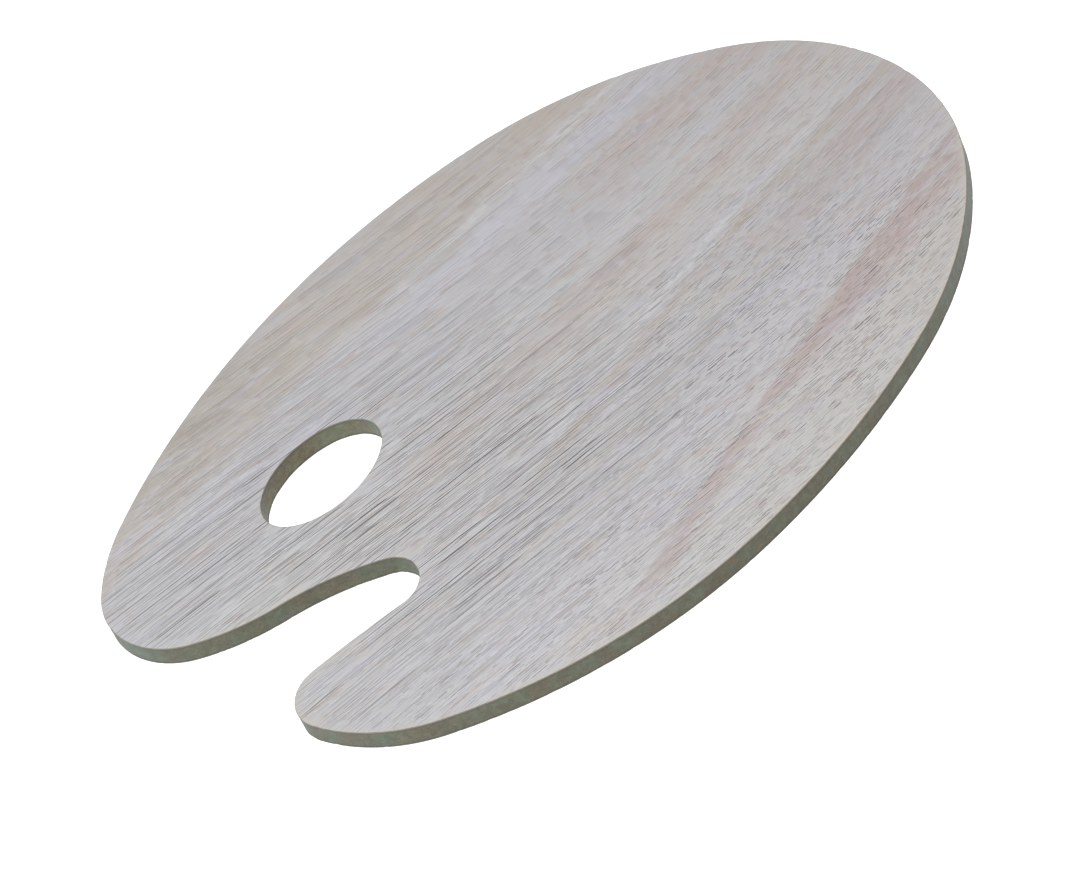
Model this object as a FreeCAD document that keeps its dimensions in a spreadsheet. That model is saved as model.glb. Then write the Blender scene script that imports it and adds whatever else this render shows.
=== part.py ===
import FreeCAD, Part
import math
import os
import Sketcher

# Mixing palette: an oval board of green moisture-resistant MDF, veneered on both faces.
# Millimetres.  The board lies on its back face: +Z is up, out of the painting face, and
# +X runs along the board, away from the finger notch.  The origin is at the middle of the
# overall size, on the back face.

doc = FreeCAD.newDocument("MixingPalette")

# ---------------------------------------------------------------- driving dimensions

sheet = doc.addObject("Spreadsheet::Sheet", "Sizes")
sheet.Label = "Sizes"
used_rows = [0]


def size(alias, value, note):
    """Add one named dimension to the sheet."""
    used_rows[0] += 1
    row = used_rows[0]
    sheet.set("A%d" % row, alias.replace("_", " "))
    sheet.set("B%d" % row, str(value))
    sheet.set("C%d" % row, note)
    sheet.setAlias("B%d" % row, alias)


size("face_thick", 0.5, "face veneer")
size("back_thick", 0.5, "back veneer")
size("glue_thick", 0.1, "each glue line")
size("core_thick", 6.0, "standard board between the veneers")
size("arris_ease", 0.12, "sanding of the sharp veneer corners")
size("hole_long", 46.0, "thumb hole, long diameter")
size("hole_short", 31.0, "thumb hole, short diameter")
size("hole_tilt", 4.5, "degrees between the thumb hole's long diameter and +X")
size("hole_centre_x", -69.9, "thumb hole")
size("hole_centre_y", 34.7, "thumb hole")

# The outline is a closed chain of tangent arcs, anticlockwise from the round end.  Set
# arcs have a centre and a radius; each one is joined to the next by an easing arc that
# has a radius only and is tangent to both.  A minus radius is a hollow curve, one whose
# centre is outside the board.
set_arcs = [
    ("round_end", 68.5, 0.0, 81.5),
    ("upper_flank", -3.5, -144.0, 250.0),
    ("thumb_lobe", -121.0, 40.0, 29.0),
    ("notch_upper_wall", -137.5, -85.0, -92.5),
    ("notch_lower_wall", -157.5, -417.0, 393.0),
    ("finger_lobe", -80.0, -25.5, 59.5),
    ("lower_flank", -11.5, 159.0, 265.0),
]
easing_arcs = [
    ("upper_shoulder", 147.5),
    ("upper_lobe_turn", 74.5),
    ("thumb_lobe_foot", 76.5),
    ("notch_end", -10.5),
    ("finger_lobe_nose", 13.0),
    ("lower_lobe_turn", 184.0),
    ("lower_shoulder", 133.0),
]
for name, x, y, radius in set_arcs:
    size(name + "_centre_x", x, "set arc")
    size(name + "_centre_y", y, "set arc")
    size(name + "_radius", abs(radius), "set arc")
for name, radius in easing_arcs:
    size(name + "_radius", abs(radius), "easing arc")
doc.recompute()

# ---------------------------------------------------------------- outline geometry


def easing_centre(first, second, radius):
    """Centre of the arc of this signed radius tangent to two set arcs, nearest the board."""
    reach_first = abs(radius - first[2])
    reach_second = abs(radius - second[2])
    dx = second[0] - first[0]
    dy = second[1] - first[1]
    gap = math.hypot(dx, dy)
    along = (reach_first ** 2 - reach_second ** 2 + gap ** 2) / (2 * gap)
    across = math.sqrt(reach_first ** 2 - along ** 2)
    foot_x = first[0] + dx * along / gap
    foot_y = first[1] + dy * along / gap
    choices = []
    for sign in (1, -1):
        x = foot_x - sign * dy * across / gap
        y = foot_y + sign * dx * across / gap
        arc = (x, y, radius)
        turn = turning(joint_angle(first, arc), joint_angle(arc, second), radius)
        choices.append((abs(turn), x, y))
    choices.sort()
    return choices[0][1], choices[0][2]


def joint_angle(first, second):
    """Direction of the outward normal where two tangent arcs meet."""
    scale = first[2] - second[2]
    return math.atan2((second[1] - first[1]) / scale, (second[0] - first[0]) / scale)


def turning(start, end, radius):
    """Turn of an arc, positive when it bulges outward."""
    turn = (end - start) % (2 * math.pi)
    if radius < 0:
        turn -= 2 * math.pi
    return turn


def outline_arcs():
    """All the arcs in order: centre x, centre y, signed radius, first and last normal."""
    chain = []
    for index, (name, x, y, radius) in enumerate(set_arcs):
        following = set_arcs[(index + 1) % len(set_arcs)]
        easing_name, easing_radius = easing_arcs[index]
        here = (x, y, radius)
        centre = easing_centre(here, following[1:], easing_radius)
        chain.append((name, x, y, radius))
        chain.append((easing_name, centre[0], centre[1], easing_radius))
    arcs = []
    for index, (name, x, y, radius) in enumerate(chain):
        before = chain[index - 1]
        after = chain[(index + 1) % len(chain)]
        start = joint_angle(before[1:], (x, y, radius))
        end = joint_angle((x, y, radius), after[1:])
        arcs.append((name, x, y, radius, start, start + turning(start, end, radius)))
    return arcs


OUTLINE = outline_arcs()

# ---------------------------------------------------------------- sketches


def base_plane(body, role):
    """The body's own origin plane with this role."""
    for feature in body.Origin.OriginFeatures:
        if feature.Role == role:
            return feature
    raise RuntimeError("no origin plane " + role)


def new_sketch(body, name):
    sketch = body.newObject("Sketcher::SketchObject", name)
    sketch.AttachmentSupport = (base_plane(body, "XY_Plane"), [""])
    sketch.MapMode = "FlatFace"
    return sketch


def bind(sketch, constraint, name, alias):
    """Add a constraint and drive it from the sheet."""
    index = sketch.addConstraint(constraint)
    sketch.renameConstraint(index, name)
    sketch.setExpression("Constraints." + name, "Sizes." + alias)


def outline_sketch(body, prefix):
    """The board's outline as fourteen tangent arcs, fully constrained."""
    sketch = new_sketch(body, prefix + "OutlineSketch")
    set_names = [entry[0] for entry in set_arcs]
    for name, x, y, radius, start, end in OUTLINE:
        circle = Part.Circle(FreeCAD.Vector(x, y, 0), FreeCAD.Vector(0, 0, 1), abs(radius))
        if radius > 0:
            arc = Part.ArcOfCircle(circle, start, end)
        else:
            arc = Part.ArcOfCircle(circle, end + math.pi, start + math.pi)
        sketch.addGeometry(arc, False)
    for index, entry in enumerate(OUTLINE):
        following = (index + 1) % len(OUTLINE)
        last_point = 2 if entry[3] > 0 else 1
        first_point = 1 if OUTLINE[following][3] > 0 else 2
        sketch.addConstraint(
            Sketcher.Constraint("Tangent", index, last_point, following, first_point))
    for index, (name, x, y, radius, start, end) in enumerate(OUTLINE):
        bind(sketch, Sketcher.Constraint("Radius", index, abs(radius)),
             name + "_radius", name + "_radius")
        if name in set_names:
            bind(sketch, Sketcher.Constraint("DistanceX", -1, 1, index, 3, x),
                 name + "_x", name + "_centre_x")
            bind(sketch, Sketcher.Constraint("DistanceY", -1, 1, index, 3, y),
                 name + "_y", name + "_centre_y")
    return sketch


def hole_sketch(body, prefix):
    """The oval thumb hole, placed and sized from the sheet."""
    sketch = new_sketch(body, prefix + "ThumbHoleSketch")
    long_half = float(sheet.hole_long) / 2
    short_half = float(sheet.hole_short) / 2
    tilt = math.radians(float(sheet.hole_tilt))
    centre = FreeCAD.Vector(float(sheet.hole_centre_x), float(sheet.hole_centre_y), 0)
    along = FreeCAD.Vector(math.cos(tilt), math.sin(tilt), 0)
    across = FreeCAD.Vector(-math.sin(tilt), math.cos(tilt), 0)
    sketch.addGeometry(Part.Ellipse(centre + along * long_half, centre + across * short_half,
                                    centre), False)
    sketch.exposeInternalGeometry(0)
    long_line = 1
    short_line = 2
    bind(sketch, Sketcher.Constraint("Distance", long_line, 2 * long_half),
         "long_diameter", "hole_long")
    bind(sketch, Sketcher.Constraint("Distance", short_line, 2 * short_half),
         "short_diameter", "hole_short")
    bind(sketch, Sketcher.Constraint("DistanceX", -1, 1, 0, 3, centre.x),
         "centre_x", "hole_centre_x")
    bind(sketch, Sketcher.Constraint("DistanceY", -1, 1, 0, 3, centre.y),
         "centre_y", "hole_centre_y")
    line = sketch.Geometry[long_line]
    heading = math.atan2(line.EndPoint.y - line.StartPoint.y,
                         line.EndPoint.x - line.StartPoint.x)
    index = sketch.addConstraint(Sketcher.Constraint("Angle", long_line, heading))
    sketch.renameConstraint(index, "tilt")
    if abs(heading - tilt) < 0.1:
        sketch.setExpression("Constraints.tilt", "Sizes.hole_tilt * 1 deg")
    else:
        sketch.setExpression("Constraints.tilt", "Sizes.hole_tilt * 1 deg - 180 deg")
    return sketch


# ---------------------------------------------------------------- layers


def rim_edges(shape, height):
    """Names of the edges that lie flat at this height."""
    names = []
    for index, edge in enumerate(shape.Edges):
        box = edge.BoundBox
        if abs(box.ZMin - height) < 1e-5 and abs(box.ZMax - height) < 1e-5:
            names.append("Edge%d" % (index + 1))
    return names


def layer(label, prefix, thickness_alias, height_expression, eased_side):
    """One sheet of the board: the outline padded to a thickness, with the thumb hole."""
    body = doc.addObject("PartDesign::Body", label)
    body.Label = label
    body.setExpression("Placement.Base.z", height_expression)

    outline = outline_sketch(body, prefix)
    pad = body.newObject("PartDesign::Pad", prefix + "Pad")
    pad.Profile = outline
    pad.setExpression("Length", "Sizes." + thickness_alias)
    doc.recompute()

    hole = hole_sketch(body, prefix)
    pocket = body.newObject("PartDesign::Pocket", prefix + "ThumbHole")
    pocket.Profile = hole
    pocket.Type = "ThroughAll"
    pocket.Reversed = True
    doc.recompute()

    if eased_side is not None:
        own_height = 0.0 if eased_side == "under" else float(sheet.get(thickness_alias))
        local = pocket.Shape.copy()
        local.Placement = FreeCAD.Placement()
        ease = body.newObject("PartDesign::Chamfer", prefix + "EasedArris")
        ease.Base = (pocket, rim_edges(local, own_height))
        ease.setExpression("Size", "Sizes.arris_ease")
        doc.recompute()
    return body


layers = [
    layer("back_veneer", "Back", "back_thick", "0", "under"),
    layer("back_glue_line", "BackGlue", "glue_thick", "Sizes.back_thick", None),
    layer("mdf_core", "Core", "core_thick", "Sizes.back_thick + Sizes.glue_thick", None),
    layer("face_glue_line", "FaceGlue", "glue_thick",
          "Sizes.back_thick + Sizes.glue_thick + Sizes.core_thick", None),
    layer("face_veneer", "Face", "face_thick",
          "Sizes.back_thick + 2 * Sizes.glue_thick + Sizes.core_thick", "over"),
]
doc.recompute()

# ---------------------------------------------------------------- checks and export

for thing in doc.Objects:
    if "Invalid" in thing.State or "Error" in thing.State:
        raise RuntimeError("%s has state %s" % (thing.Name, thing.State))

os.makedirs("parts", exist_ok=True)
for body in layers:
    shape = body.Shape
    if shape.isNull() or not shape.isValid() or len(shape.Solids) != 1:
        raise RuntimeError("bad shape in " + body.Label)
    box = shape.BoundBox
    print("%-16s x %.3f..%.3f  y %.3f..%.3f  z %.3f..%.3f  volume %.1f" % (
        body.Label, box.XMin, box.XMax, box.YMin, box.YMax, box.ZMin, box.ZMax, shape.Volume))
    shape.exportStep("parts/%s.step" % body.Label)
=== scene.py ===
import math
import random

import bpy
import numpy as np
from mathutils import Matrix, Vector, noise
from mathutils.geometry import delaunay_2d_cdt
from mathutils.kdtree import KDTree


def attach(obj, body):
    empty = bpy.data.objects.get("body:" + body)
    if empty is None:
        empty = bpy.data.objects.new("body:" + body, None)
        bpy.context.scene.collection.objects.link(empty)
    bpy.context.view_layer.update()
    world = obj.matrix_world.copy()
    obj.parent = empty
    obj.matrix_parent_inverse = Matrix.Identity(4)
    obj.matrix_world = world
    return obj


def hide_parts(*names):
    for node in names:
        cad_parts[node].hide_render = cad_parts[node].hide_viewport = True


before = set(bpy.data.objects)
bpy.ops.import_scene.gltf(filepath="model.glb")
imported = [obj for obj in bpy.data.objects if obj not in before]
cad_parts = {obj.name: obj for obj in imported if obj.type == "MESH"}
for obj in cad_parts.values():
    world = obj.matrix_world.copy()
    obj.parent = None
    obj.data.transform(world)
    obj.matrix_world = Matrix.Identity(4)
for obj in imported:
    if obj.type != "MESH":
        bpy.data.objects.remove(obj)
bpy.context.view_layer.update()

# A flat oval mixing palette: a green fibreboard core, a dark glue line and a veneer on each
# face.  The layers are built in millimetres in the CAD frame and scaled to metres.

MM = 0.001

# Thicknesses, and the heights of the layers that follow from them.
VENEER = 0.5
GLUE_LINE = 0.1
CORE = 6.0
BACK_TOP = VENEER
CORE_LOW = BACK_TOP + GLUE_LINE
CORE_TOP = CORE_LOW + CORE
FACE_LOW = CORE_TOP + GLUE_LINE
FACE_TOP = FACE_LOW + VENEER

# ---------------------------------------------------------------- outline

# Arcs that have a centre and a radius, anticlockwise from the round end, and the easing
# arcs between them, tangent to both neighbours.  A minus radius is a hollow curve.
SET_ARCS = [
    (68.5, 0.0, 81.5),          # round end
    (-3.5, -144.0, 250.0),      # upper flank
    (-121.0, 40.0, 29.0),       # thumb lobe
    (-137.5, -85.0, -92.5),     # notch, upper wall
    (-157.5, -417.0, 393.0),    # notch, lower wall
    (-80.0, -25.5, 59.5),       # finger lobe
    (-11.5, 159.0, 265.0),      # lower flank
]
EASING_RADII = [147.5, 74.5, 76.5, -10.5, 13.0, 184.0, 133.0]
HOLE_CENTRE = (-69.9, 34.7)
HOLE_LONG = 46.0
HOLE_SHORT = 31.0
HOLE_TILT = math.radians(4.5)


def joint_angle(first, second):
    """Direction of the outward normal where two tangent arcs meet."""
    scale = first[2] - second[2]
    return math.atan2((second[1] - first[1]) / scale, (second[0] - first[0]) / scale)


def turning(start, end, radius):
    """Turn of an arc, positive when it bulges outward."""
    turn = (end - start) % (2 * math.pi)
    return turn - 2 * math.pi if radius < 0 else turn


def easing_arc(first, second, radius):
    """The arc of this radius tangent to two arcs, with the shorter turn."""
    reach_first = abs(radius - first[2])
    reach_second = abs(radius - second[2])
    dx, dy = second[0] - first[0], second[1] - first[1]
    gap = math.hypot(dx, dy)
    along = (reach_first ** 2 - reach_second ** 2 + gap ** 2) / (2 * gap)
    across = math.sqrt(reach_first ** 2 - along ** 2)
    choices = []
    for sign in (1, -1):
        x = first[0] + (dx * along - sign * dy * across) / gap
        y = first[1] + (dy * along + sign * dx * across) / gap
        arc = (x, y, radius)
        turn = turning(joint_angle(first, arc), joint_angle(arc, second), radius)
        choices.append((abs(turn), arc))
    return min(choices)[1]


def outline(step):
    """Points and outward normals along the board's edge, about a step apart."""
    chain = []
    for index, arc in enumerate(SET_ARCS):
        following = SET_ARCS[(index + 1) % len(SET_ARCS)]
        chain.append(arc)
        chain.append(easing_arc(arc, following, EASING_RADII[index]))
    points, normals = [], []
    for index, arc in enumerate(chain):
        start = joint_angle(chain[index - 1], arc)
        end = joint_angle(arc, chain[(index + 1) % len(chain)])
        turn = turning(start, end, arc[2])
        count = max(2, round(abs(arc[2] * turn) / step))
        angles = start + turn * np.arange(count) / count
        normal = np.stack([np.cos(angles), np.sin(angles)], axis=1)
        points.append(np.array(arc[:2]) + arc[2] * normal)
        normals.append(normal)
    return np.concatenate(points), np.concatenate(normals)


def thumb_hole(step):
    """Points round the thumb hole, and normals that point into the hole."""
    a, b = HOLE_LONG / 2, HOLE_SHORT / 2
    count = round(math.pi * (a + b) / step)
    t = -2 * math.pi * np.arange(count) / count
    local = np.stack([a * np.cos(t), b * np.sin(t)], axis=1)
    inward = -np.stack([np.cos(t) / a, np.sin(t) / b], axis=1)
    inward /= np.linalg.norm(inward, axis=1, keepdims=True)
    c, s = math.cos(HOLE_TILT), math.sin(HOLE_TILT)
    turn = np.array([[c, s], [-s, c]])
    return local @ turn + np.array(HOLE_CENTRE), inward @ turn


RIM_STEP = 0.42         # distance between the points along an edge

# The board's two edges, each as points and the normals that point out of the wood.
EDGES = [outline(RIM_STEP), thumb_hole(RIM_STEP)]


def inside(points, polygon):
    """Which points lie inside a closed polygon."""
    result = np.zeros(len(points), bool)
    x0, y0 = polygon[:, 0], polygon[:, 1]
    x1, y1 = np.roll(x0, -1), np.roll(y0, -1)
    rise = np.where(y1 == y0, 1e-12, y1 - y0)
    batch = 2000
    for first in range(0, len(points), batch):
        x = points[first:first + batch, 0:1]
        y = points[first:first + batch, 1:2]
        crosses = ((y0 > y) != (y1 > y)) & (x < x0 + (x1 - x0) * (y - y0) / rise)
        result[first:first + batch] = crosses.sum(axis=1) % 2 == 1
    return result


# ---------------------------------------------------------------- grain

# The grain runs a little off the board's length and bends towards the round end.  With u
# and v for x and y in units of 100 mm, its slope is close to
# SLOPE + SLOPE_X u + SLOPE_XX u^2 + (SLOPE_Y + SLOPE_XY u) v.
SLOPE = -0.095
SLOPE_X = 0.06
SLOPE_XX = 0.05
SLOPE_Y = -0.03
SLOPE_XY = 0.01


def grain_height(x, row):
    """The y of a grain line at x, where row is its y at x = 0."""
    u = x / 100
    lift = 100 * (SLOPE * u + SLOPE_X * u * u / 2 + SLOPE_XX * u ** 3 / 3)
    return (row + lift) / (1 - SLOPE_Y * u - SLOPE_XY * u * u / 2)


# ---------------------------------------------------------------- mesh building

CHIPS_PER_MM = 0.10     # small chips along a veneer's corner
SHARP_ANGLE = 50        # degrees; a smooth wall turns less than this from face to face


def smooth_noise(x, y, z, seed):
    """Noise from -1 to 1; each seed has its own far-off stretch of z."""
    return noise.noise(Vector((x, y, z + 37.0 * seed)))


def rim_noise(points, pitch, seed):
    """One number from -1 to 1 for each point along an edge."""
    return np.array([smooth_noise(x / pitch, y / pitch, 0.5, seed) for x, y in points])


def tear_out(points, normals, seed):
    """How far small chips set back the veneer's corner, deepest where the cut crosses the
    grain."""
    draws = random.Random(seed)
    depth = np.zeros(len(points))
    chips = int(len(points) * RIM_STEP * CHIPS_PER_MM)
    for _ in range(chips):
        centre = draws.randrange(len(points))
        half_length = draws.uniform(0.4, 1.7)
        across_grain = abs(normals[centre, 0])
        deep = draws.uniform(0.03, 0.08) + draws.uniform(0.0, 0.12) * across_grain ** 2
        reach = int(half_length / RIM_STEP) + 1
        for offset in range(-reach, reach + 1):
            share = 1 - (offset * RIM_STEP / half_length) ** 2
            if share > 0:
                place = (centre + offset) % len(points)
                depth[place] = max(depth[place], deep * math.sqrt(share))
    return depth


class Layer:
    """One layer's mesh: rings round each edge, joined by walls, and two triangulated faces."""

    def __init__(self):
        self.points = []
        self.faces = []
        self.flat_faces = []    # the numbers of the caps' faces, which are shaded flat
        self.rim = []
        self.pore = []

    def add(self, points, rim, pore=0.0):
        """Add points and return their numbers; rim and pore, from 0 to 1, tint the material."""
        first = len(self.points)
        self.points.extend(tuple(float(v) for v in p) for p in points)
        self.rim.extend([rim] * len(points))
        self.pore.extend([pore] * len(points))
        return list(range(first, first + len(points)))

    def ring(self, edge, inset, height, rim):
        """Add a closed line of points, set in from an edge of the board."""
        points, normals = edge
        flat = points - normals * np.reshape(inset, (-1, 1))
        full = np.column_stack([flat, np.broadcast_to(height, len(flat))])
        return self.add(full, rim)

    def wall(self, lower, upper):
        """Quads between two rings, facing out of the wood when upper is the higher one."""
        count = len(lower)
        for i in range(count):
            j = (i + 1) % count
            self.faces.append((lower[i], lower[j], upper[j], upper[i]))

    def cap(self, rings, loose, tied, upward):
        """Triangles over the area between the rings, through loose points and tied lines."""
        order = [i for ring in rings for i in ring] + loose
        place = {index: number for number, index in enumerate(order)}
        lines = [line for ring in rings for line in zip(ring, ring[1:] + ring[:1])] + tied
        links = [(place[a], place[b]) for a, b in lines]
        flat = [Vector(self.points[i][:2]) for i in order]
        verts, _, triangles, source, _, _ = delaunay_2d_cdt(flat, links, [], 0, 1e-7, True)
        back = [order[s[0]] if s else None for s in source]
        keep = self.between(rings, verts, triangles, back)
        height = self.points[rings[0][0]][2]
        for number, index in enumerate(back):
            if index is None:
                back[number] = self.add([(*verts[number], height)], 0.0)[0]
        for number in np.flatnonzero(keep):
            corners = [back[i] for i in triangles[number]]
            a, b, c = (self.points[i] for i in corners)
            turn = (b[0] - a[0]) * (c[1] - a[1]) - (b[1] - a[1]) * (c[0] - a[0])
            if (turn > 0) != upward:
                corners.reverse()
            self.flat_faces.append(len(self.faces))
            self.faces.append(tuple(corners))

    def between(self, rings, verts, triangles, back):
        """Which triangles lie inside the first ring and outside the others.  Only one whose
        corners are all on the rings can lie elsewhere, so only those are tested."""
        on_rings = set(i for ring in rings for i in ring)
        unsure = [n for n, t in enumerate(triangles) if all(back[i] in on_rings for i in t)]
        centres = np.array([
            [sum(verts[i][axis] for i in triangles[n]) / 3 for axis in (0, 1)] for n in unsure])
        outer, *holes = [np.array([self.points[i][:2] for i in ring]) for ring in rings]
        good = inside(centres, outer)
        for hole in holes:
            good &= ~inside(centres, hole)
        keep = np.ones(len(triangles), bool)
        keep[unsure] = good
        return keep

    def piece(self, name, node, slot, material):
        """Make the mesh object, riding on the board in place of one CAD node."""
        mesh = bpy.data.meshes.new(name)
        mesh.from_pydata([[v * MM for v in p] for p in self.points], [], self.faces)
        for label, values in (("rim", self.rim), ("pore", self.pore)):
            attribute = mesh.attributes.new(label, "FLOAT", "POINT")
            attribute.data.foreach_set("value", np.array(values, np.float32))
        rounded = np.ones(len(mesh.polygons), bool)
        rounded[self.flat_faces] = False
        mesh.polygons.foreach_set("use_smooth", rounded)
        mesh.validate()
        mesh.set_sharp_from_angle(angle=math.radians(SHARP_ANGLE))
        thing = bpy.data.objects.new(name, mesh)
        bpy.context.scene.collection.objects.link(thing)
        thing.data.materials.append(material)
        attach(thing, "root")
        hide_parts(node)


def clearance():
    """A function that says how far inside the board's edges a point lies."""
    tree = KDTree(sum(len(points) for points, _ in EDGES))
    all_points = np.concatenate([points for points, _ in EDGES])
    all_normals = np.concatenate([normals for _, normals in EDGES])
    for number, point in enumerate(all_points):
        tree.insert((point[0], point[1], 0), number)
    tree.balance()

    def measure(x, y):
        _, number, _ = tree.find((x, y, 0))
        offset = np.array([x, y]) - all_points[number]
        return -float(offset @ all_normals[number])

    return measure


CLEARANCE = clearance()

ROW_LIMIT = 118.0       # grain lines beyond this row miss the board
BOARD_END = 150.0       # half the board's length
LONG_PORE = 34.0        # typical length near the notch
SHORT_PORE = 4.5        # typical length near the round end
LONGEST_PORE = 75.0
PORE_DEPTH = 0.09       # the deepest groove
RIM_MARGIN = 2.9        # the grooves stay this far inside the edges, clear of the corner
SPINE_STEP = 1.6        # about the distance between the points of a groove
SPINE_BREAK = 2.6       # a wider step means that the groove ran over an edge


def open_pores(layer, surface, row_gap, busy, deepest, seed):
    """Open pores as narrow grooves along the grain; returns loose points and tied lines.
    They are long towards the notch and short towards the round end.  Row_gap is the distance
    between lines of pores, and busy is the share of a line that they fill."""
    draws = random.Random(seed)
    loose, tied = [], []
    row = -ROW_LIMIT
    while row < ROW_LIMIT:
        row += row_gap * draws.uniform(0.7, 1.3)
        x = -BOARD_END + draws.uniform(0, 8)
        while x < BOARD_END:
            towards_round_end = min(1.0, max(0.0, (x + 70.0) / 120.0))
            typical = LONG_PORE * (1 - towards_round_end) + SHORT_PORE * towards_round_end
            length = min(LONGEST_PORE, typical * (0.35 + draws.expovariate(1.35)))
            gap = typical * (0.15 + draws.expovariate(1.0)) * (1 - busy) / busy
            half_width = draws.uniform(0.07, 0.13)
            deep = deepest * draws.uniform(0.45, 1.0)
            strength = draws.uniform(0.45, 1.0)
            count = max(2, round(length / SPINE_STEP))
            places = [x + length * k / count for k in range(count + 1)]
            spine = [(px, grain_height(px, row)) for px in places]
            spine = [p for p in spine if CLEARANCE(*p) > RIM_MARGIN]
            whole = all(b[0] - a[0] <= SPINE_BREAK for a, b in zip(spine, spine[1:]))
            if whole and len(spine) > 2:
                add_groove(layer, surface, spine, half_width, deep, strength, loose, tied)
            x += length + gap
    return loose, tied


def add_groove(layer, surface, spine, half_width, deep, strength, loose, tied):
    """One groove: a sunk middle line between two lines at the surface."""
    sides = []
    for offset in (half_width, -half_width):
        run = [(px, py + offset, surface) for px, py in spine[1:-1]]
        sides.append(layer.add(run, 0.0))
    ends = [layer.add([(px, py, surface)], 0.0)[0] for px, py in (spine[0], spine[-1])]
    middle = layer.add([(px, py, surface - deep) for px, py in spine[1:-1]], 0.0, strength)
    for line in (sides[0], sides[1], middle):
        full = [ends[0]] + line + [ends[1]]
        tied.extend(zip(full, full[1:]))
        loose.extend(line)
    loose.extend(ends)


# ---------------------------------------------------------------- materials


def linear(red, green, blue):
    """Linear colour from screen values 0 to 255."""
    channels = []
    for value in (red, green, blue):
        value /= 255
        channels.append(value / 12.92 if value <= 0.04045 else ((value + 0.055) / 1.055) ** 2.4)
    return (*channels, 1.0)


class Nodes:
    """Short ways to add shader nodes to one material."""

    def __init__(self, name):
        self.material = bpy.data.materials.new(name)
        self.material.use_nodes = True
        self.tree = self.material.node_tree
        self.shader = self.tree.nodes["Principled BSDF"]
        self.place = self.node("ShaderNodeTexCoord").outputs["Object"]
        millimetres = self.node("ShaderNodeVectorMath", operation="SCALE")
        self.tree.links.new(self.place, millimetres.inputs[0])
        millimetres.inputs["Scale"].default_value = 1000.0
        self.place = millimetres.outputs[0]
        parts = self.node("ShaderNodeSeparateXYZ")
        self.tree.links.new(self.place, parts.inputs[0])
        self.x, self.y, self.z = parts.outputs

    def node(self, kind, **settings):
        """Add a node of this kind."""
        made = self.tree.nodes.new(kind)
        for key, value in settings.items():
            setattr(made, key, value)
        return made

    def feed(self, socket, value):
        """Link an output to a socket, or set the socket's own value."""
        if isinstance(value, bpy.types.NodeSocket):
            self.tree.links.new(value, socket)
        else:
            socket.default_value = value

    def math(self, operation, first, second=0.0, third=0.0):
        """Arithmetic on numbers or outputs."""
        made = self.node("ShaderNodeMath", operation=operation)
        for socket, value in zip(made.inputs, (first, second, third)):
            self.feed(socket, value)
        return made.outputs[0]

    def vector(self, x, y, z):
        """A vector from three numbers or outputs."""
        made = self.node("ShaderNodeCombineXYZ")
        for socket, value in zip(made.inputs, (x, y, z)):
            self.feed(socket, value)
        return made.outputs[0]

    def noise(self, vector, scale, detail, roughness, distortion=0.0):
        """Smooth noise from 0 to 1, mostly between 0.3 and 0.7."""
        made = self.node("ShaderNodeTexNoise")
        self.feed(made.inputs["Vector"], vector)
        made.inputs["Scale"].default_value = scale
        made.inputs["Detail"].default_value = detail
        made.inputs["Roughness"].default_value = roughness
        made.inputs["Distortion"].default_value = distortion
        return made.outputs[0]

    def span(self, value, low, high, to_low=0.0, to_high=1.0, smooth=False):
        """Map low..high to to_low..to_high and hold the ends."""
        made = self.node("ShaderNodeMapRange")
        made.interpolation_type = "SMOOTHSTEP" if smooth else "LINEAR"
        made.clamp = True
        self.feed(made.inputs["Value"], value)
        made.inputs["From Min"].default_value = low
        made.inputs["From Max"].default_value = high
        made.inputs["To Min"].default_value = to_low
        made.inputs["To Max"].default_value = to_high
        return made.outputs["Result"]

    def ramp(self, value, stops, interpolation="LINEAR"):
        """Colour from a list of stops: place from 0 to 1, and screen values."""
        made = self.node("ShaderNodeValToRGB")
        made.color_ramp.interpolation = interpolation
        elements = made.color_ramp.elements
        while len(elements) < len(stops):
            elements.new(0.5)
        for element, (position, _) in zip(elements, stops):
            element.position = position
        for element, (_, tone) in zip(elements, stops):
            element.color = linear(*tone)
        self.feed(made.inputs["Fac"], value)
        return made.outputs["Color"]

    def mix(self, share, first, second, blend="MIX"):
        """First colour at share 0, second at share 1."""
        made = self.node("ShaderNodeMix", data_type="RGBA", blend_type=blend)
        self.feed(made.inputs[0], share)
        self.feed(made.inputs[6], first)
        self.feed(made.inputs[7], second)
        return made.outputs[2]

    def multiply(self, colour, factor):
        """A colour made lighter or darker; the factor is a colour or one number."""
        if isinstance(factor, bpy.types.NodeSocket):
            factor = self.vector(factor, factor, factor)
        return self.mix(1.0, colour, factor, "MULTIPLY")

    def random(self, vector):
        """Three even random numbers, the same for the same vector."""
        made = self.node("ShaderNodeTexWhiteNoise", noise_dimensions="3D")
        self.feed(made.inputs["Vector"], vector)
        parts = self.node("ShaderNodeSeparateColor")
        self.feed(parts.inputs[0], made.outputs["Color"])
        return parts.outputs[0], parts.outputs[1], parts.outputs[2]

    def attribute(self, name):
        """The rim or pore value of the mesh."""
        return self.node("ShaderNodeAttribute", attribute_name=name).outputs["Fac"]

    def finish(self, colour, roughness, height, depth_mm, specular):
        """Connect everything to the shader; height 0 to 1 is a bump of depth_mm."""
        self.feed(self.shader.inputs["Base Color"], colour)
        self.feed(self.shader.inputs["Roughness"], roughness)
        self.shader.inputs["Specular IOR Level"].default_value = specular
        bump = self.node("ShaderNodeBump")
        bump.inputs["Strength"].default_value = 1.0
        bump.inputs["Distance"].default_value = depth_mm * MM
        self.feed(bump.inputs["Height"], height)
        self.feed(self.shader.inputs["Normal"], bump.outputs[0])
        return self.material


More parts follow.
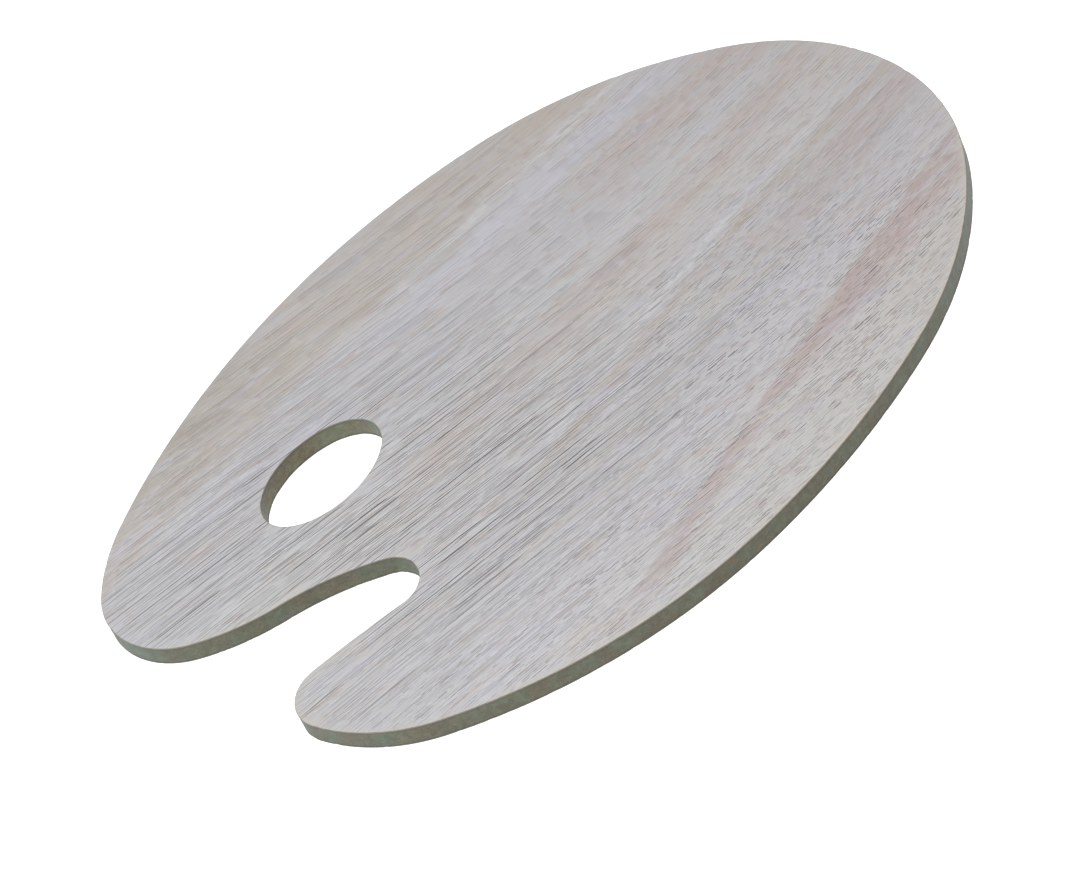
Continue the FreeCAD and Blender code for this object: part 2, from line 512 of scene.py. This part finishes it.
def grain_row(n):
    """The grain line that a point lies on, as its y at x = 0, in millimetres."""
    u = n.math("MULTIPLY", n.x, 0.01)
    squared = n.math("MULTIPLY", u, u)
    tilt = n.math("MULTIPLY_ADD", u, -SLOPE_Y, 1.0)
    tilt = n.math("MULTIPLY_ADD", squared, -SLOPE_XY / 2, tilt)
    lift = n.math("MULTIPLY_ADD", u, SLOPE_XX / 3, SLOPE_X / 2)
    lift = n.math("MULTIPLY_ADD", n.math("MULTIPLY", lift, u), 1.0, SLOPE)
    lift = n.math("MULTIPLY", n.math("MULTIPLY", lift, u), 100.0)
    return n.math("SUBTRACT", n.math("MULTIPLY", n.y, tilt), lift)


def along_grain(n, row, per_x, per_row, seed):
    """A place for noise that is drawn out along the grain; per_x and per_row are in 1/mm."""
    return n.vector(n.math("MULTIPLY", n.x, per_x), n.math("MULTIPLY", row, per_row), seed)


def grain_noise(n, row, per_x, per_row, seed, detail=3.0, roughness=0.6, swirl=0.0):
    """Noise drawn out along the grain, its cells askew and swirled so that they don't show."""
    across = n.math("MULTIPLY", row, per_row)
    along = n.math("MULTIPLY_ADD", across, 0.37, n.math("MULTIPLY", n.x, per_x))
    return n.noise(n.vector(along, across, seed + 0.37), 1.0, detail, roughness, swirl)


def dashes(n, row, pitch, length, half_width, share, seed):
    """Thin lines along the grain, one lane each pitch, broken into dashes at random, and the
    raised flanks beside them; both from 0 to 1.  Share is how many dashes stand out."""
    across = n.math("MULTIPLY_ADD", row, 1 / pitch, 13.7 * seed)
    lane = n.math("FLOOR", across)
    start = n.random(n.vector(lane, 0.5, seed))[0]
    along = n.math("MULTIPLY_ADD", start, 61.0, n.math("MULTIPLY", n.x, 1 / length))
    draw = n.random(n.vector(lane, n.math("FLOOR", along), seed + 0.5))
    centre = n.math("MULTIPLY_ADD", draw[0], 0.5, 0.25)
    away = n.math("ABSOLUTE", n.math("SUBTRACT", n.math("FRACT", across), centre))
    width = half_width / pitch
    line = n.span(away, 0.4 * width, 1.05 * width, 1.0, 0.0, True)
    flank = n.math("MULTIPLY", n.span(away, 1.0 * width, 1.4 * width, 0.0, 1.0, True),
                   n.span(away, 1.6 * width, 2.3 * width, 1.0, 0.0, True))
    reach = n.math("MULTIPLY_ADD", draw[1], 0.6, 0.38)
    place = n.math("FRACT", along)
    to_end = n.math("MINIMUM", place, n.math("SUBTRACT", reach, place))
    strength = n.math("MULTIPLY", n.span(to_end, 0.0, 0.1, 0.0, 1.0, True),
                      n.span(draw[2], 1 - share, 1.0, 0.15, 1.0))
    return n.math("MULTIPLY", line, strength), n.math("MULTIPLY", flank, strength)


# Broad growth bands of the painting face: place across the board, from 0 to 1, and tone.
FACE_BANDS = [
    (0.02, (187, 185, 182)),
    (0.12, (186, 183, 181)),
    (0.17, (183, 180, 179)),
    (0.22, (182, 180, 182)),
    (0.33, (177, 175, 175)),
    (0.43, (180, 178, 178)),
    (0.52, (180, 177, 175)),
    (0.60, (180, 179, 179)),
    (0.70, (176, 174, 175)),
    (0.79, (177, 175, 176)),
    (0.86, (176, 173, 170)),
    (0.95, (173, 171, 170)),
]

ROSE = (168, 150, 147)
LAVENDER = (182, 181, 188)
PALE = (190, 189, 190)

# Coloured streaks over the bands.  Each lies along y = start + slope u + bend u^2, where u is
# x / 100 mm, from x = first to last, and fades out over the widths above and below that line:
# start, slope, bend, above, below, first, last, tone, most, seed.
FACE_STREAKS = [
    (-76.5, 29.0, -1.5, 1.8, 10.0, -50, 70, ROSE, 0.7, 61.0),
    (-77.0, 29.0, -1.5, 2.0, 19.0, 55, 160, ROSE, 0.8, 60.0),
    (-92.0, 24.0, 0.0, 6.0, 20.0, 0, 160, (180, 176, 170), 0.5, 62.0),
    (-33.0, 17.0, 0.0, 12.0, 12.0, 75, 160, (171, 157, 154), 0.6, 63.0),
    (-20.5, 21.0, -3.5, 2.0, 5.0, -30, 160, (172, 164, 156), 0.85, 64.0),
    (-15.5, 21.0, -3.5, 2.2, 2.2, -20, 120, PALE, 0.8, 65.0),
    (11.0, 8.5, 4.0, 12.0, 9.0, -50, 160, (173, 160, 154), 0.65, 66.0),
    (51.0, -1.0, 1.0, 14.0, 14.0, 65, 150, (174, 162, 155), 0.75, 67.0),
    (63.0, 7.0, 0.0, 9.0, 9.0, -25, 110, LAVENDER, 0.8, 68.0),
    (72.5, 8.0, -2.0, 2.5, 2.5, 0, 110, PALE, 0.6, 72.0),
    (50.0, -4.0, 0.0, 6.0, 6.0, -105, -50, LAVENDER, 0.6, 69.0),
    (81.0, 8.0, -3.0, 50.0, 8.0, -150, 90, (172, 164, 156), 0.95, 70.0),
    (96.0, 0.0, 0.0, 30.0, 26.0, -150, -60, (157, 149, 140), 0.9, 73.0),
    (-62.0, 0.0, 0.0, 22.0, 30.0, -140, -60, (188, 186, 189), 0.25, 71.0),
]

# Small warm, cool and pink blotches: noise cells per mm along and across the grain, seed, the
# noise values where a blotch starts and is full, its greatest share, tone.
FACE_BLOTCHES = [
    (0.04, 0.17, 13.0, 0.50, 0.74, 0.5, (180, 170, 160)),
    (0.045, 0.20, 31.0, 0.50, 0.73, 0.5, (179, 177, 188)),
    (0.08, 0.33, 47.0, 0.53, 0.72, 0.6, (174, 158, 153)),
]
PATCH_SWIRL = 0.9       # how far the edges of streaks and blotches wander


def coloured_streak(n, row, drift, under, start, slope, bend, above, below, first, last,
                    tone, most, seed):
    """The colour under it with one streak laid over, patchy along the grain."""
    u = n.math("MULTIPLY", n.x, 0.01)
    line = n.math("MULTIPLY_ADD", u, bend, slope)
    line = n.math("MULTIPLY_ADD", line, u, start)
    off = n.math("SUBTRACT", n.math("MULTIPLY_ADD", drift, 4.5, n.y), line)
    across = n.math("MULTIPLY", n.span(off, 0.15 * above, above, 1.0, 0.0, True),
                    n.span(off, -below, -0.3 * below, 0.0, 1.0, True))
    along = n.math("MULTIPLY", n.span(n.x, first - 25, first + 15, 0.0, 1.0, True),
                   n.span(n.x, last - 15, last + 25, 1.0, 0.0, True))
    patches = grain_noise(n, row, 0.06, 0.25, seed, swirl=PATCH_SWIRL)
    share = n.math("MULTIPLY", n.math("MULTIPLY", across, along),
                   n.span(patches, 0.30, 0.60, 0.15 * most, most, True))
    return n.mix(share, under, linear(*tone))


def face_figure(n, row):
    """The limed wood's colour before its pores: bands, streaks and blotches."""
    # The bands fan out from the notch end, their borders broken by slow noise.
    fan = n.math("DIVIDE", n.math("MULTIPLY_ADD", n.x, -0.1, n.y),
                 n.math("MULTIPLY_ADD", n.x, -0.0017, 1.0))
    drift = n.math("SUBTRACT", grain_noise(n, row, 0.025, 0.12, 3.0, 4.0), 0.5)
    band = n.math("MULTIPLY_ADD", n.math("MULTIPLY_ADD", drift, 14.0, fan), 1 / 220, 0.5)
    colour = n.ramp(band, FACE_BANDS, "EASE")
    for streak in FACE_STREAKS:
        colour = coloured_streak(n, row, drift, colour, *streak)
    for per_x, per_row, seed, low, high, most, tone in FACE_BLOTCHES:
        cloud = grain_noise(n, row, per_x, per_row, seed, swirl=PATCH_SWIRL)
        colour = n.mix(n.span(cloud, low, high, 0.0, most, True), colour, linear(*tone))

    # The whole face darkens and reddens a little from the notch end to the round end.
    notch_end = n.multiply(colour, (1.022, 1.004, 0.996, 1))
    round_end = n.multiply(colour, (0.899, 0.866, 0.860, 1))
    return n.mix(n.span(n.x, -110.0, 150.0), notch_end, round_end)


def face_pores(n, row):
    """The shares of dark pore lines and of lime beside them: long lines near the notch, short
    dashes towards the round end, both faintest far up."""
    off_middle = n.math("ABSOLUTE", n.math("SUBTRACT", n.y, 5.0))
    near_notch = n.math("MULTIPLY", n.span(n.x, -50.0, 75.0, 1.0, 0.15, True),
                        n.span(off_middle, 35.0, 80.0, 1.0, 0.35, True))
    far_up = n.math("MULTIPLY_ADD", n.y, 0.9, n.math("MULTIPLY", n.x, 0.5))
    open_share = n.math("MULTIPLY", n.span(far_up, -30.0, 85.0, 0.94, 0.4, True),
                        n.math("MULTIPLY", n.span(n.y, -95.0, -30.0, 0.8, 1.0, True),
                               n.span(n.x, -150.0, -70.0, 0.66, 1.0, True)))
    upper = n.span(far_up, 5.0, 65.0, 0.0, 1.0, True)
    clusters = n.span(grain_noise(n, row, 0.05, 0.22, 23.0), 0.38, 0.62, 0.55, 1.15, True)
    short_share = n.math("SUBTRACT", 1.0, n.math("MULTIPLY", near_notch, 0.6))
    short_share = n.math("MULTIPLY", short_share, clusters)
    short_share = n.math("MULTIPLY", short_share, n.math("MULTIPLY_ADD", upper, -0.5, 1.0))
    # Each group's pitch, length, half width, share and seed, and how strongly it shows.
    groups = [
        (dashes(n, row, 4.3, 46.0, 0.22, 0.9, 7), n.math("MULTIPLY", near_notch, 1.3)),
        (dashes(n, row, 1.9, 48.0, 0.18, 0.95, 1), n.math("MULTIPLY", near_notch, 1.1)),
        (dashes(n, row, 1.1, 25.0, 0.15, 0.85, 2), near_notch),
        (dashes(n, row, 0.8, 31.0, 0.13, 0.7, 9), near_notch),
        (dashes(n, row, 1.3, 21.0, 0.20, 0.9, 8), upper),
        (dashes(n, row, 1.05, 9.0, 0.20, 0.75, 3), short_share),
        (dashes(n, row, 0.70, 4.5, 0.16, 0.75, 4), short_share),
    ]
    lines, flanks = 0.0, 0.0
    for (line, flank), share in groups:
        lines = n.math("MAXIMUM", lines, n.math("MULTIPLY", line, share))
        flanks = n.math("MAXIMUM", flanks, n.math("MULTIPLY", flank, share))
    dark = n.math("MULTIPLY", n.math("MAXIMUM", lines, n.attribute("pore")), open_share)
    fine_lime = n.math("MULTIPLY", dashes(n, row, 0.7, 9.0, 0.12, 0.8, 6)[0], 0.4)
    lime = n.math("MAXIMUM", n.math("MULTIPLY", flanks, 0.9), fine_lime)
    return dark, n.math("MULTIPLY", lime, n.math("MULTIPLY", open_share, 0.6))


def sanded_corner(n, colour):
    """The face's colour with its corner: creamy where it is worn, most along the lower flank
    and the thumb lobe, with a darker last line and a dark cut side."""
    wear = n.noise(n.place, 0.5, 3.0, 0.6)
    rim = n.attribute("rim")
    lobe = n.math("MULTIPLY", n.span(n.x, -108.0, -96.0, 1.0, 0.0, True),
                  n.span(n.y, 14.0, 30.0, 1.0, 0.0, True))
    most_worn = n.math("MAXIMUM", n.span(n.y, -55.0, -25.0, 1.0, 0.15, True), lobe)
    worn = n.math("MULTIPLY", n.span(rim, 0.1, 0.9), n.span(wear, 0.35, 0.65, 0.35, 0.85))
    worn = n.math("MULTIPLY", worn, most_worn)
    colour = n.mix(worn, colour, linear(181, 174, 160))
    colour = n.mix(n.span(rim, 0.8, 1.0, 0.0, 0.8), colour, linear(138, 132, 122))
    side = n.span(n.z, FACE_TOP - 0.02, FACE_TOP - 0.12, 0.0, 1.0, True)
    return n.mix(side, colour, n.mix(wear, linear(104, 95, 80), linear(132, 124, 108)))


def limed_veneer():
    """Pale limed veneer: growth bands, open pores along the grain and a worn corner."""
    n = Nodes("limed_veneer")
    row = grain_row(n)
    wander = grain_noise(n, row, 0.03, 0.2, 17.0, 2.0, 0.5)
    row = n.math("MULTIPLY_ADD", n.math("SUBTRACT", wander, 0.5), 0.9, row)

    colour = face_figure(n, row)
    streak = grain_noise(n, row, 0.06, 2.1, 5.0, 3.0, 0.7)
    colour = n.multiply(colour, n.span(streak, 0.3, 0.7, 0.972, 1.022))
    dark, lime = face_pores(n, row)
    colour = n.mix(lime, colour, linear(213, 210, 211))
    colour = n.mix(dark, colour, n.mix(wander, linear(62, 51, 47), linear(68, 62, 62)))
    colour = sanded_corner(n, colour)

    rough = n.span(streak, 0.25, 0.75, 0.62, 0.8)
    rough = n.math("MULTIPLY_ADD", dark, 0.12, rough)
    height = n.math("SUBTRACT", n.math("MULTIPLY", streak, 0.6), dark)
    return n.finish(colour, rough, height, 0.025, 0.28)


def fibreboard():
    """Sawn edge of green moisture-resistant fibreboard: packed fibres and fine specks."""
    n = Nodes("fibreboard_edge")
    flat = n.vector(n.x, n.y, n.math("MULTIPLY", n.z, 1.9))
    fibres = n.noise(flat, 1.3, 4.0, 0.65, 0.3)
    specks = n.noise(flat, 3.1, 2.0, 0.5)
    patches = n.noise(n.vector(n.x, n.y, n.math("MULTIPLY", n.z, 0.7)), 0.16, 3.0, 0.55)
    colour = n.ramp(fibres, [
        (0.25, (66, 61, 44)),
        (0.45, (84, 79, 59)),
        (0.60, (94, 88, 66)),
        (0.80, (112, 104, 81)),
    ])
    colour = n.mix(n.span(patches, 0.48, 0.66, 0.0, 0.75), colour, linear(88, 92, 72))
    colour = n.mix(n.span(patches, 0.48, 0.32, 0.0, 0.75), colour, linear(90, 78, 57))
    mottle = n.noise(n.place, 0.45, 3.0, 0.6)
    colour = n.multiply(colour, n.span(mottle, 0.32, 0.68, 0.82, 1.2))
    colour = n.mix(n.span(specks, 0.62, 0.75, 0.0, 0.6), colour, linear(150, 143, 120))
    colour = n.mix(n.span(specks, 0.38, 0.25, 0.0, 0.6), colour, linear(58, 55, 45))

    # Painted light: the wall of the thumb hole is painted 1.3 times paler, to make up for the
    # shade inside the hole.
    from_hole = n.node("ShaderNodeVectorMath", operation="DISTANCE")
    n.feed(from_hole.inputs[0], n.vector(n.x, n.y, 0.0))
    from_hole.inputs[1].default_value = (*HOLE_CENTRE, 0.0)
    painted_light_in_hole = n.span(from_hole.outputs["Value"], HOLE_LONG / 2 + 2, HOLE_LONG / 2 + 1)
    colour = n.mix(painted_light_in_hole, colour, n.multiply(colour, (1.3, 1.3, 1.3, 1)))

    # Painted shade: the core darkens in its top and bottom half millimetre, where shade falls
    # next to the glue lines.
    under_face = n.span(n.z, CORE_TOP - 0.5, CORE_TOP, 0.0, 0.7, True)
    over_back = n.span(n.z, CORE_LOW + 0.5, CORE_LOW, 0.0, 0.6, True)
    painted_shade_near_glue = n.math("MAXIMUM", under_face, over_back)
    colour = n.mix(painted_shade_near_glue, colour, linear(72, 66, 54))

    rough = n.span(fibres, 0.3, 0.7, 0.78, 0.92)
    height = n.math("ADD", fibres, n.math("MULTIPLY", specks, 0.5))
    n.shader.inputs["Sheen Weight"].default_value = 0.24
    n.shader.inputs["Sheen Tint"].default_value = (0.68, 0.84, 1.0, 1)
    n.shader.inputs["Sheen Roughness"].default_value = 0.5
    return n.finish(colour, rough, height, 0.09, 0.4)


def glue():
    """Dark cured resin, blotchy where fibres break through it."""
    n = Nodes("glue_line")
    blotch = n.noise(n.place, 0.9, 3.0, 0.6)
    colour = n.ramp(blotch, [
        (0.30, (52, 44, 36)),
        (0.55, (76, 65, 52)),
        (0.75, (104, 94, 76)),
    ])
    rough = n.span(blotch, 0.3, 0.7, 0.5, 0.75)
    return n.finish(colour, rough, blotch, 0.03, 0.35)


def plain_veneer():
    """The back: the same wood without the lime, warmer and more even, with rub marks."""
    n = Nodes("plain_veneer")
    row = grain_row(n)
    band = n.noise(along_grain(n, row, 0.006, 0.05, 2.0), 1.0, 3.0, 0.5)
    colour = n.ramp(band, [
        (0.30, (196, 180, 160)),
        (0.50, (206, 192, 173)),
        (0.70, (190, 172, 152)),
    ], "EASE")
    streak = n.noise(along_grain(n, row, 0.10, 2.4, 6.0), 1.0, 4.0, 0.6)
    colour = n.multiply(colour, n.span(streak, 0.3, 0.7, 0.88, 1.05))
    pores = n.noise(along_grain(n, row, 0.09, 1.6, 14.0), 1.0, 1.0, 0.4)
    line = n.span(pores, 0.6, 0.71, 0.0, 0.5, True)
    dark = n.math("MAXIMUM", line, n.math("MULTIPLY", n.attribute("pore"), 0.9))
    colour = n.mix(dark, colour, linear(120, 98, 78))
    rub = n.noise(n.place, 0.03, 4.0, 0.6)
    colour = n.mix(n.span(rub, 0.55, 0.75, 0.0, 0.3, True), colour, linear(178, 170, 158))
    worn = n.span(n.attribute("rim"), 0.35, 1.0, 0.0, 0.8, True)
    colour = n.mix(worn, colour, linear(212, 202, 184))
    # Painted shade: the back veneer's cut side is dark grey, the shade along the board's bottom
    # edge.
    side = n.span(n.z, 0.02, 0.12, 0.0, 1.0, True)
    colour = n.mix(side, colour, n.mix(rub, linear(92, 92, 88), linear(112, 111, 106)))
    rough = n.math("MULTIPLY_ADD", dark, 0.1, n.span(streak, 0.25, 0.75, 0.6, 0.78))
    height = n.math("SUBTRACT", n.math("MULTIPLY", streak, 0.5), line)
    return n.finish(colour, rough, height, 0.05, 0.28)


# ---------------------------------------------------------------- layers


def veneer(low, top, face_up, row_gap, busy, seed):
    """A veneer with a softened, chipped outer corner and open pores in its outer face."""
    layer = Layer()
    outer = top if face_up else low
    inward = -1 if face_up else 1
    # The corner in section: inset, distance from the outer face, how worn, share of the chips.
    profile = [
        (2.60, 0.0, 0.0, 0.0),
        (1.60, 0.0, 0.35, 0.0),
        (0.80, 0.0, 0.60, 0.15),
        (0.30, 0.004, 0.75, 0.6),
        (0.12, 0.025, 1.0, 0.9),
        (0.03, 0.09, 1.0, 1.0),
        (0.0, 0.2, 0.9, 0.8),
        (0.0, 0.38, 0.8, 0.35),
        (0.015, top - low, 0.7, 0.1),
    ]
    rings = []
    for edge_number, edge in enumerate(EDGES):
        points, normals = edge
        chips = tear_out(points, normals, seed + edge_number)
        fuzz = rim_noise(points, 0.9, seed) * 0.02 + rim_noise(points, 6.0, seed + 1) * 0.03
        stack = []
        for inset, depth, worn, chipped in profile:
            uneven = chips * chipped + np.abs(fuzz) * min(1.0, chipped + 0.3)
            height = np.full(len(points), outer + inward * depth)
            if 0.0 < depth < 0.3:
                height += inward * 0.25 * chips * chipped
            stack.append(layer.ring(edge, inset + uneven, height, worn))
        rings.append(stack)
        for near, far in zip(stack, stack[1:]):
            if face_up:
                layer.wall(far, near)
            else:
                layer.wall(near, far)
    loose, tied = open_pores(layer, outer, row_gap, busy, -inward * PORE_DEPTH, seed + 5)
    layer.cap([stack[0] for stack in rings], loose, tied, face_up)
    layer.cap([stack[-1] for stack in rings], [], [], not face_up)
    return layer


def film(low, top, seed):
    """A glue line: a thin film whose edge wanders a little."""
    layer = Layer()
    rings = []
    for edge in EDGES:
        points, _ = edge
        wander = 0.03 + 0.03 * rim_noise(points, 1.4, seed)
        stack = [
            layer.ring(edge, wander + 0.02, low, 0.5),
            layer.ring(edge, wander, (2 * low + top) / 3, 1.0),
            layer.ring(edge, wander, (low + 2 * top) / 3, 1.0),
            layer.ring(edge, wander + 0.02, top, 0.5),
        ]
        rings.append(stack)
        for lower, upper in zip(stack, stack[1:]):
            layer.wall(lower, upper)
    layer.cap([stack[0] for stack in rings], [], [], False)
    layer.cap([stack[-1] for stack in rings], [], [], True)
    return layer


def wall_noise(points, height, pitch, rise, seed):
    """One number from -1 to 1 for each point of a ring on the core's wall."""
    return np.array([
        smooth_noise(x / pitch, y / pitch, height / rise, seed) for x, y in points])


def core(low, top, rows, seed):
    """The fibreboard: its sawn wall is fuzzy with fibres and carries faint saw ripples."""
    layer = Layer()
    rings = []
    for edge in EDGES:
        points, _ = edge
        ripple = rim_noise(points, 3.2, seed) * 0.035
        stack = []
        for k in range(rows + 1):
            share = k / rows
            height = low + (top - low) * share
            fuzz = wall_noise(points, height, 0.7, 0.45, seed + 2)
            pits = wall_noise(points, height, 1.9, 1.1, seed + 4)
            inset = 0.05 + ripple + 0.035 * fuzz + 0.12 * np.clip(pits - 0.35, 0, None)
            if k in (0, rows):
                inset = inset + 0.02
            stack.append(layer.ring(edge, inset, height, 0.0))
        rings.append(stack)
        for lower, upper in zip(stack, stack[1:]):
            layer.wall(lower, upper)
    layer.cap([stack[0] for stack in rings], [], [], False)
    layer.cap([stack[-1] for stack in rings], [], [], True)
    return layer


resin = glue()
veneer(FACE_LOW, FACE_TOP, True, 1.35, 0.42, 11).piece(
    "limed_face", "face_veneer", "face_veneer", limed_veneer())
film(CORE_TOP, FACE_LOW, 21).piece("face_glue", "face_glue_line", "glue", resin)
core(CORE_LOW, CORE_TOP, 16, 31).piece("fibre_core", "mdf_core", "mdf", fibreboard())
film(BACK_TOP, CORE_LOW, 41).piece("back_glue", "back_glue_line", "glue", resin)
veneer(0.0, BACK_TOP, False, 2.6, 0.25, 51).piece(
    "plain_back", "back_veneer", "back_veneer", plain_veneer())

# ---------------------------------------------------------------- floor, light and camera


def floor():
    """A plain pale floor, a hair below the board's back."""
    reach, height = 6.0, -0.0002
    corners = [(-reach, -reach), (reach, -reach), (reach, reach), (-reach, reach)]
    mesh = bpy.data.meshes.new("floor")
    mesh.from_pydata([(x, y, height) for x, y in corners], [], [(0, 1, 2, 3)])
    thing = bpy.data.objects.new("floor", mesh)
    bpy.context.scene.collection.objects.link(thing)
    material = bpy.data.materials.new("pale_floor")
    material.use_nodes = True
    shader = material.node_tree.nodes["Principled BSDF"]
    shader.inputs["Base Color"].default_value = (0.5, 0.5, 0.5, 1)
    shader.inputs["Roughness"].default_value = 0.9
    shader.inputs["Specular IOR Level"].default_value = 0.1
    shader.inputs["Emission Color"].default_value = (1, 1, 1, 1)
    shader.inputs["Emission Strength"].default_value = 0.8
    thing.data.materials.append(material)


def round_light(name, place, size, power, colour):
    """A round soft light aimed at the board; metres and watts."""
    data = bpy.data.lights.new(name, "AREA")
    data.shape = "DISK"
    data.size = size
    data.energy = power
    data.color = colour
    thing = bpy.data.objects.new(name, data)
    thing.location = place
    thing.rotation_euler = (-Vector(place)).to_track_quat("-Z", "Y").to_euler()
    bpy.context.scene.collection.objects.link(thing)


def camera():
    """A long lens about a metre and a half away, turned a little about its own axis."""
    azimuth = math.radians(-22.96)
    elevation = math.radians(43.08)
    roll = math.radians(26.22)
    aim = Vector((-22.54, -18.5, 7.2)) * MM
    distance = 1.5074
    back = Vector((math.sin(azimuth) * math.cos(elevation),
                   -math.cos(azimuth) * math.cos(elevation), math.sin(elevation)))
    right = (-back).cross(Vector((0, 0, 1))).normalized()
    down = (-back).cross(right)
    turned_right = math.cos(roll) * right + math.sin(roll) * down
    turned_down = -math.sin(roll) * right + math.cos(roll) * down
    turn = Matrix((turned_right, -turned_down, back)).transposed().to_4x4()
    data = bpy.data.cameras.new("camera")
    data.sensor_fit = "HORIZONTAL"
    data.sensor_width = 36.0
    data.lens = 166.7
    data.clip_start = 0.05
    data.clip_end = 50.0
    thing = bpy.data.objects.new("camera", data)
    thing.matrix_world = Matrix.Translation(aim + back * distance) @ turn
    bpy.context.scene.collection.objects.link(thing)
    bpy.context.scene.camera = thing


def studio():
    """A big soft light overhead, two weaker bluish ones at the sides, and a pale surround."""
    world = bpy.data.worlds.new("studio")
    world.use_nodes = True
    surround = world.node_tree.nodes["Background"]
    surround.inputs["Color"].default_value = (0.98, 0.985, 0.985, 1)
    surround.inputs["Strength"].default_value = 0.48
    bpy.context.scene.world = world
    round_light("overhead", (0.15, -0.5, 2.0), 1.6, 28.5, (1.0, 0.995, 0.99))
    round_light("left_window", (-1.62, -0.2, 0.6), 0.9, 22.0, (0.70, 0.87, 1.0))
    round_light("right_window", (1.7, -0.3, 0.5), 0.9, 2.8, (0.66, 0.84, 1.0))


floor()
studio()
camera()
bpy.context.scene.view_settings.view_transform = "Standard"

bpy.context.view_layer.update()
